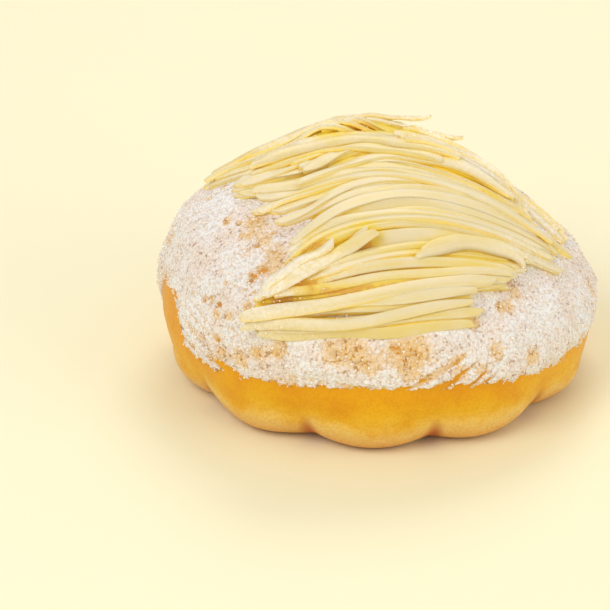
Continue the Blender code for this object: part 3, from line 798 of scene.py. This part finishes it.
def middle_line(share, route):
    """Plan points along a strip: the cubic through four points, a third of the way apart."""
    third = 3 * share[:, None]
    weights = (-(third - 1) * (third - 2) * (third - 3) / 6, third * (third - 2) * (third - 3) / 2,
               -third * (third - 1) * (third - 3) / 2, third * (third - 1) * (third - 2) / 6)
    return sum(weight * point for weight, point in zip(weights, route))


def drape(ground):
    """A soft strip's underside over uneven ground: it may rise over a dip, and never sinks into a bump.

    Each pass takes the greater of the ground and the mean of each point and the two beside it.
    """
    level = ground
    for _ in range(BRIDGING):
        padded = np.pad(level, 1, mode="edge")
        level = np.maximum(ground, (padded[:-2] + padded[1:-1] + padded[2:]) / 3)
    return level


def smoothed(values):
    """Running mean along a strip."""
    return np.convolve(np.pad(values, SMOOTHING // 2, mode="edge"), np.ones(SMOOTHING) / SMOOTHING, "valid")


def strip_tube(middle, upward, width, thickness, tilt, shift, draw):
    """Rings of a strip, and each point's place from -1 below to 1 on top: a rounded rectangle, tilted,
    carried along a line. Each side of a ring is moved forward by the shift times its place across,
    which slants the ends.
    """
    forward = np.gradient(middle, axis=0)
    forward /= np.linalg.norm(forward, axis=1, keepdims=True)
    across = np.cross(upward, forward)
    across /= np.linalg.norm(across, axis=1, keepdims=True)
    upward = np.cross(forward, across)
    turn = (np.arange(STRIP_SIDES) + 0.5) / STRIP_SIDES * 2 * np.pi
    power = 2 / STRIP_SQUARENESS
    side = np.sign(np.cos(turn)) * np.abs(np.cos(turn)) ** power
    top = np.sign(np.sin(turn)) * np.abs(np.sin(turn)) ** power
    groove = draw.uniform(1 - GRATER_RELIEF, 1 + GRATER_RELIEF, STRIP_SIDES)
    wide = width[:, None] / 2 * side * groove
    high = thickness[:, None] / 2 * top * groove
    sideways = wide * np.cos(tilt)[:, None] - high * np.sin(tilt)[:, None]
    lifted = wide * np.sin(tilt)[:, None] + high * np.cos(tilt)[:, None]
    rings = middle[:, None] + across[:, None] * sideways[..., None] + upward[:, None] * lifted[..., None]
    rings += forward[:, None] * (shift[:, None] * side)[..., None]
    return rings, np.broadcast_to(top, wide.shape)


def lay_strip(heap, route, width, thickness, rise, draw):
    """Lay one strip on the heap's height map, raise the map, and return its rings, their places from -1
    below to 1 on top, and their heights over the coat."""
    steps = np.diff(middle_line(np.linspace(0, 1, LENGTH_STEPS), route), axis=0)
    length = np.linalg.norm(steps, axis=1).sum()
    trims = draw.uniform(*END_TRIM, size=2) / length
    length *= 1 - trims.sum()
    share = np.linspace(trims[0], 1 - trims[1], STATIONS)
    plan = middle_line(share, route)
    run = np.gradient(plan, axis=0)
    run /= np.linalg.norm(run, axis=1, keepdims=True)
    beside = np.stack([-run[:, 1], run[:, 0]], axis=-1)
    waves = draw.uniform(*WOBBLE_WAVES)
    phase = draw.uniform(0, 2 * np.pi)
    plan += beside * (WOBBLE * np.sin(2 * np.pi * waves * share + phase))[:, None]
    left, centre, right = (heap[map_place(plan + beside * width * offset)]
                           for offset in (TILT_PLACE, 0, -TILT_PLACE))
    tilt = smoothed(np.clip((left - right) / (2 * TILT_PLACE * width), -TILT_LIMIT, TILT_LIMIT))
    ground = smoothed(drape(np.maximum(centre, (left + right) / 2)))
    ground = np.maximum(ground - PRESS, 0) + rise * np.linspace(0, 1, STATIONS) ** RISE_POWER
    for offset in RAISE_PLACES:
        crown = thickness * (0.5 + 0.5 * np.sqrt(1 - (2 * offset) ** 2))
        np.maximum.at(heap, map_place(plan + beside * width * offset),
                      ground + np.tan(tilt) * offset * width + crown)
    inside = np.linspace(2 * END_RINGS[-1], length - 2 * END_RINGS[-1], STRIP_RINGS - 2 * len(END_RINGS))
    place = np.concatenate([END_RINGS, inside, length - END_RINGS[::-1]])
    ends = np.minimum(place, length - place)
    rounding = 1 - END_ROUNDING * (1 - np.clip(ends / END_RINGS[-1], 0, 1)) ** 2
    taper = 1 - END_TAPER * (1 - np.clip(ends / draw.uniform(*END_NARROWING), 0, 1)) ** 2
    slants = draw.uniform(-END_SLANT, END_SLANT, 2)
    shift = np.where(place < length / 2, slants[0], slants[1]) * np.clip(1 - ends / (3 * END_SLANT), 0, 1)
    station = np.linspace(0, length, STATIONS)
    ground, tilt, x, y = (np.interp(place, station, values) for values in (ground, tilt, *plan.T))
    plan = np.stack([x, y], axis=-1)
    middle = dome_point(plan, SEAT + ground + thickness / 2)
    above = dome_point(plan, SEAT + ground + thickness / 2 + MM)
    rings, top = strip_tube(middle, above - middle, width * taper * rounding,
                            thickness * rounding, tilt, shift, draw)
    return rings, top, ground[:, None] + thickness / 2 * (1 + top)


def blurred(heights, cells):
    """Running mean of a height map over a square of this many cells to each side."""
    for axis in (0, 1):
        heights = sum(np.roll(heights, step, axis) for step in range(-cells, cells + 1)) / (2 * cells + 1)
    return heights


map_line = (np.arange(MAP_SIDE) + 0.5) * CELL - HALF_MAP
heap = bed_top(np.stack(np.meshgrid(map_line, map_line, indexing="ij"), axis=-1))
draw = np.random.RandomState(STRIP_SEED)
line_draw = np.random.RandomState(LINE_SEED)
strip_points, strip_faces, strip_tones, strip_tops, strip_levels = [], [], [], [], []
for bunch in BUNCHES.values():
    guide_a, guide_b, rise, width, stray, count = bunch
    for number in np.argsort(np.arange(count) + draw.uniform(-DISORDER, DISORDER, count)):
        swing = draw.uniform(-SHIFT, SHIFT) + draw.uniform(-stray, stray) * np.linspace(-1, 1, 4)
        place = ((number + 0.5 + swing) / count)[:, None]
        route = (np.array(guide_a) * (1 - place) + np.array(guide_b) * place) * MM
        route[1:3] += draw.uniform(-BOW_SPREAD, BOW_SPREAD, 2)
        rings, top, level = lay_strip(
            heap, route, width * MM + draw.uniform(-WIDTH_SPREAD, WIDTH_SPREAD),
            draw.uniform(*STRIP_THICKNESS), rise * MM, draw)
        strip_faces += closed_faces(STRIP_RINGS, STRIP_SIDES, sum(len(points) for points in strip_points))
        strip_points.append(with_poles(rings))
        lines = draw.uniform(0, 1) + LINE_TONE * line_draw.uniform(-1, 1, (1, STRIP_SIDES))
        strip_tones.append(with_poles(np.clip(np.broadcast_to(lines, top.shape), 0, 1)))
        strip_tops.append(with_poles(top))
        strip_levels.append(with_poles(level))
strip_points = np.concatenate(strip_points)
# Painted shade: points lower than the mean of the heap around them, and the strips' sides and undersides,
# take the gold shade colour; the sides and undersides also get the painted glow
around = blurred(heap, PIT_CELLS)[map_place(strip_points[:, :2] * RIM_RADIUS / (RIM_RADIUS + SEAT))]
pit_shade = np.clip((around - np.concatenate(strip_levels)) / PIT_RANGE, 0, 1)
under = np.clip(UNDER_TOP - np.concatenate(strip_tops), 0, 1)
depth = np.maximum(pit_shade, UNDERSIDE_SHADE * under)
# Powder whitening, partly a painted highlight on the right of the heap, with less of it in the pits
dusted = powder_and_highlight_share(strip_points[:, :2]) * (1 - pit_shade)
strips = add_mesh("cheese_strips", strip_points, strip_faces, tone=np.concatenate(strip_tones), depth=depth,
                  under=under, dusted=dusted)
strips.data.materials.append(cheese_finish)
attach(strips, "root")
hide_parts("cheese")


# Loose sugar: crystals of white sugar, each a small cube about half a millimetre across at most, that
# stuck to the butter. They lie in drifts all over the coat that shows, and end where it runs out.
SUGAR_GRAINS = {"count": 7000, "sizes": (0.16 * MM, 0.5 * MM), "skew": 2,
                "stretch": (0.7, 1.25), "sink": 0.15}
SUGAR_PALE = (252, 248, 240)
SUGAR_DARK = (236, 214, 190)
STICKY_DEPTH = 0.5 * MM
STICKY_SIZE = 4.0 * MM
STICKY_EVERYWHERE = 0.35
GRAIN_SEED = 6
HEAP_FRINGE = 0.4 * MM
MAPPED_REACH = 56.5 * MM
CUBE_CORNERS = np.array(list(np.ndindex(2, 2, 2))) - 0.5
CUBE_FACES = np.array([(0, 1, 3, 2), (4, 6, 7, 5), (0, 4, 5, 1), (2, 3, 7, 6), (0, 2, 6, 4), (1, 5, 7, 3)])


def random_turns(count, draw):
    """Random rotation matrices, from unit quaternions drawn evenly over the sphere."""
    quaternions = draw.normal(size=(count, 4))
    w, x, y, z = (quaternions / np.linalg.norm(quaternions, axis=1, keepdims=True)).T
    return np.stack([
        1 - 2 * (y * y + z * z), 2 * (x * y - z * w), 2 * (x * z + y * w),
        2 * (x * y + z * w), 1 - 2 * (x * x + z * z), 2 * (y * z - x * w),
        2 * (x * z - y * w), 2 * (y * z + x * w), 1 - 2 * (x * x + y * y)], axis=1).reshape(-1, 3, 3)


def strew(grid, weight, count, draw):
    """Random places on a grid of points, and the normals there: more places where the weight and the
    cells are large."""
    along = np.roll(grid, -1, axis=1) - grid
    up = np.gradient(grid, axis=0)
    weight = (weight * np.linalg.norm(np.cross(along, up), axis=-1)).ravel()
    chosen = draw.choice(weight.size, count, p=weight / weight.sum())
    shift = along.reshape(-1, 3)[chosen] * draw.uniform(-0.5, 0.5, (count, 1))
    shift = shift + up.reshape(-1, 3)[chosen] * draw.uniform(-0.5, 0.5, (count, 1))
    return grid.reshape(-1, 3)[chosen] + shift, surface_normals(grid).reshape(-1, 3)[chosen]


def scatter_mesh(name, corners, faces, grid, weight, draw, count, sizes, skew, stretch, sink):
    """Joined copies of one small shape, strewn over a grid of points: each turned at random, stretched,
    scaled, and sunk in by a share of its size. The greater the skew, the more of them are small."""
    places, normals = strew(grid, weight, count, draw)
    scale = draw.uniform(0, 1, count) ** skew * (sizes[1] - sizes[0]) + sizes[0]
    turns = random_turns(count, draw)
    shapes = corners[None] * (scale[:, None] * draw.uniform(*stretch, (count, 3)))[:, None]
    points = np.einsum("nij,nkj->nki", turns, shapes)
    points += (places + normals * (scale * (0.5 - sink))[:, None])[:, None]
    joined = faces[None] + (np.arange(count) * len(corners))[:, None, None]
    tone = np.repeat(draw.uniform(0, 1, count), len(corners))
    return add_mesh(name, points.reshape(-1, 3), joined.reshape(-1, faces.shape[1]).tolist(), tone=tone)


def grain_material(name, pale, dark, roughness):
    """Grains: each with its own tone between two colours, softly translucent."""
    material, tree, shader, _, grain = start_material(name, blotches=300.0, grains=4000.0)
    colour = blend(tree, attribute(tree, "tone"), pale, dark)
    set_shader(tree, shader, {"Base Color": colour, "Roughness": roughness, "Subsurface Weight": 0.2,
                              "Subsurface Radius": (1.0, 0.8, 0.6), "Subsurface Scale": 0.6 * MM,
                              "Specular IOR Level": 0.45}, height=grain, depth=0.02 * MM)
    return material


coat_plan = coat_outer[..., :2] * RIM_RADIUS / (RIM_RADIUS + SEAT)
coat_reach = np.hypot(coat_plan[..., 0], coat_plan[..., 1])
showing = (heap[map_place(coat_plan)] < HEAP_FRINGE) | (coat_reach > MAPPED_REACH)
sticky = STICKY_EVERYWHERE + noise(coat_base, STICKY_SIZE, seed=51) ** 2
sticky = showing * np.clip(coat_height / STICKY_DEPTH, 0, 1) * sticky
draw = np.random.RandomState(GRAIN_SEED)
sugar = scatter_mesh("sugar_crystals", CUBE_CORNERS, CUBE_FACES, coat_outer, sticky, draw, **SUGAR_GRAINS)
sugar.data.shade_flat()
sugar.data.materials.append(grain_material("sugar crystal", SUGAR_PALE, SUGAR_DARK, roughness=0.35))
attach(sugar, "root")


# Milk powder crumbs: round lumps, most of them under half a millimetre, where butter bound the powder.
# They gather along the coat's ragged edge and in drifts on it.
MILK_GRAINS = {"count": 5000, "sizes": (0.2 * MM, 0.6 * MM), "skew": 2.5,
               "stretch": (0.65, 1.2), "sink": 0.3}
MILK_PALE = (250, 244, 234)
MILK_DARK = (238, 216, 190)
MILK_DEPTH = 0.3 * MM
MILK_DRIFT_SIZE = 5.0 * MM
MILK_EDGE_WIDTH = 3.0 * MM
MILK_EDGE_SHARE = 0.5

ball = bmesh.new()
bmesh.ops.create_icosphere(ball, subdivisions=1, radius=0.5)
ball_corners = np.array([vertex.co for vertex in ball.verts])
ball_faces = np.array([[vertex.index for vertex in face.verts] for face in ball.faces])
ball.free()
edge_band = np.exp(-((coat_climb - coat_edge(coat_azimuth)) * CLIMB_STEP / MILK_EDGE_WIDTH) ** 2)
clumpy = noise(coat_base, MILK_DRIFT_SIZE, seed=52) ** 3 + MILK_EDGE_SHARE * edge_band
clumpy = showing * np.clip(coat_height / MILK_DEPTH, 0, 1) * clumpy
crumbs = scatter_mesh("milk_crumbs", ball_corners, ball_faces, coat_outer, clumpy, draw, **MILK_GRAINS)
crumbs.data.materials.append(grain_material("milk crumb", MILK_PALE, MILK_DARK, roughness=0.8))
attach(crumbs, "root")


# Loose powder: grains of sugar and milk powder that fell on the cheese as the bun was dusted. They lie
# dry on the strips, thickest in the spots that whiten the cheese, of powder and of painted highlight.
POWDER_GRAINS = {"count": 1100, "sizes": (0.12 * MM, 0.26 * MM), "skew": 2,
                 "stretch": (0.7, 1.25), "sink": 0.3}
POWDER_PALE = (253, 252, 250)
POWDER_DARK = (248, 242, 232)
POWDER_EVERYWHERE = 0.01
HEAP_REACH = 56.0 * MM

heap_plan = np.stack(np.meshgrid(map_line, map_line, indexing="ij"), axis=-1).transpose(1, 0, 2)
heap_top = dome_point(heap_plan, SEAT + heap.T)
on_heap = (heap.T > HEAP_FRINGE) * (np.hypot(heap_plan[..., 0], heap_plan[..., 1]) < HEAP_REACH)
dusty = on_heap * (POWDER_EVERYWHERE + powder_and_highlight_share(heap_plan))
powder = scatter_mesh("loose_powder", CUBE_CORNERS, CUBE_FACES, heap_top, dusty, draw, **POWDER_GRAINS)
powder.data.shade_flat()
powder.data.materials.append(grain_material("loose powder", POWDER_PALE, POWDER_DARK, roughness=0.7))
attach(powder, "root")


# Floor: a plain pale table top, painted matt, that runs past the view on every side. It isn't part of
# the bun, and lies just under its base.
FLOOR_HALF = 6.0
FLOOR_DROP = 0.05 * MM
FLOOR_COLOUR = (247, 241, 207)
FLOOR_BLOTCH = (245, 238, 198)

corner_signs = np.array([(-1, -1), (1, -1), (1, 1), (-1, 1)])
floor_points = np.concatenate([corner_signs * FLOOR_HALF, np.full((4, 1), -FLOOR_DROP)], axis=1)
floor = add_mesh("floor", floor_points, [[0, 1, 2, 3]])
material, tree, shader, blotches, grain = start_material("pale table", blotches=4.0, grains=300.0)
table_colour = blend(tree, add_range(tree, blotches, 0.3, 0.7, 0.0, 0.15), FLOOR_COLOUR, FLOOR_BLOTCH)
set_shader(tree, shader, {"Base Color": table_colour, "Roughness": 0.6, "Specular IOR Level": 0.2},
           height=grain, depth=0.01 * MM)
floor.data.materials.append(material)


# Light: a large soft box high at the front left, a wider and weaker one at the right, a third over the
# back, and a pale surround.
SURROUND_COLOUR = (255, 252, 248)
SURROUND_STRENGTH = 0.58
AIM = Vector((0.0, 0.0, 0.03))

# Each lamp: where it stands and how wide it is in metres, its power in watts, and its colour
LIGHTS = {
    "soft box": ((-0.5, -0.62, 0.76), 0.7, 4.75, (255, 253, 251)),
    "right fill": ((0.8, -0.5, 0.45), 0.8, 2.6, (255, 251, 245)),
    "back top": ((0.1, 0.7, 0.8), 0.6, 3.3, (255, 253, 250)),
}

for name, (place, side, power, colour) in LIGHTS.items():
    lamp = bpy.data.lights.new(name, "AREA")
    lamp.shape = "DISK"
    lamp.size = side
    lamp.energy = power
    lamp.color = linear(colour)[:3]
    holder = bpy.data.objects.new(name, lamp)
    holder.location = place
    holder.rotation_euler = (AIM - Vector(place)).to_track_quat("-Z", "Y").to_euler()
    bpy.context.scene.collection.objects.link(holder)
world = bpy.data.worlds.new("surround")
world.use_nodes = True
world.node_tree.nodes["Background"].inputs["Color"].default_value = linear(SURROUND_COLOUR)
world.node_tree.nodes["Background"].inputs["Strength"].default_value = SURROUND_STRENGTH
bpy.context.scene.world = world
bpy.context.scene.view_settings.view_transform = "Standard"


# Camera: the photo's angle, from the front and looking down by the elevation, through a long lens. Its
# aim puts the middle of the bun's base at the pixel where the photo has it.
ELEVATION = 26.5
DISTANCE = 1.0
PICTURE = 610
SENSOR = 36.0
MM_PER_PIXEL = 0.2727
BASE_PIXEL = (378.0, 360.5)

camera_data = bpy.data.cameras.new("camera")
camera_data.sensor_width = SENSOR
camera_data.lens = DISTANCE / (MM_PER_PIXEL * MM) / PICTURE * SENSOR
rise = np.radians(ELEVATION)
away = Vector((0.0, -np.cos(rise), np.sin(rise)))
view_up = Vector((0.0, np.sin(rise), np.cos(rise)))
right_of_base = (PICTURE / 2 - BASE_PIXEL[0]) * MM_PER_PIXEL * MM
above_base = (BASE_PIXEL[1] - PICTURE / 2) * MM_PER_PIXEL * MM
target = Vector((right_of_base, 0.0, 0.0)) + view_up * above_base
camera = bpy.data.objects.new("camera", camera_data)
camera.location = target + away * DISTANCE
camera.rotation_euler = (-away).to_track_quat("-Z", "Y").to_euler()
bpy.context.scene.collection.objects.link(camera)
bpy.context.scene.camera = camera

bpy.context.view_layer.update()
